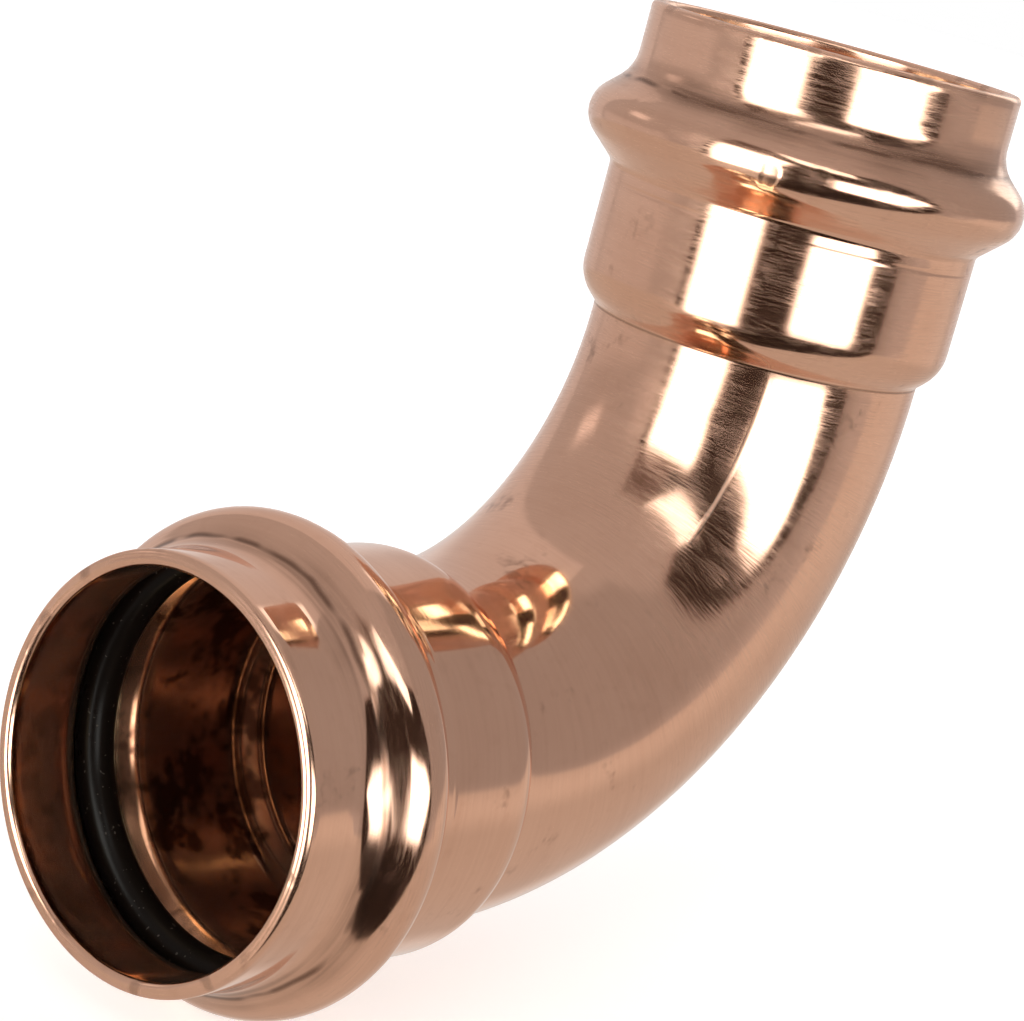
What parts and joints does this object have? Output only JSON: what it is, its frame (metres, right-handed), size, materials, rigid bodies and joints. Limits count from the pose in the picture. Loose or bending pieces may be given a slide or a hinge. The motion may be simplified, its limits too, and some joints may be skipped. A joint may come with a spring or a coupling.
{
  "type": "press-fit pipe elbow",
  "caption": "Square copper elbow whose beaded press sockets hold rubber sealing rings; it joins pipes round a corner when the sockets are squeezed shut.",
  "frame": {"origin": "centre of the front socket's mouth, on that socket's axis", "axes": "-Y out of the front socket's mouth, +Z out of the upper socket's mouth, X square to the plane of the bend"},
  "size_m": [0.0362, 0.0757, 0.0757],
  "materials": {
    "copper": "bright drawn copper, lightly scuffed",
    "seal_rubber": "matt moulded rubber"
  },
  "bodies": {
    "root": {"elbow_body": "copper", "front_o_ring": "seal_rubber", "upper_o_ring": "seal_rubber"}
  },
  "joints": []
}
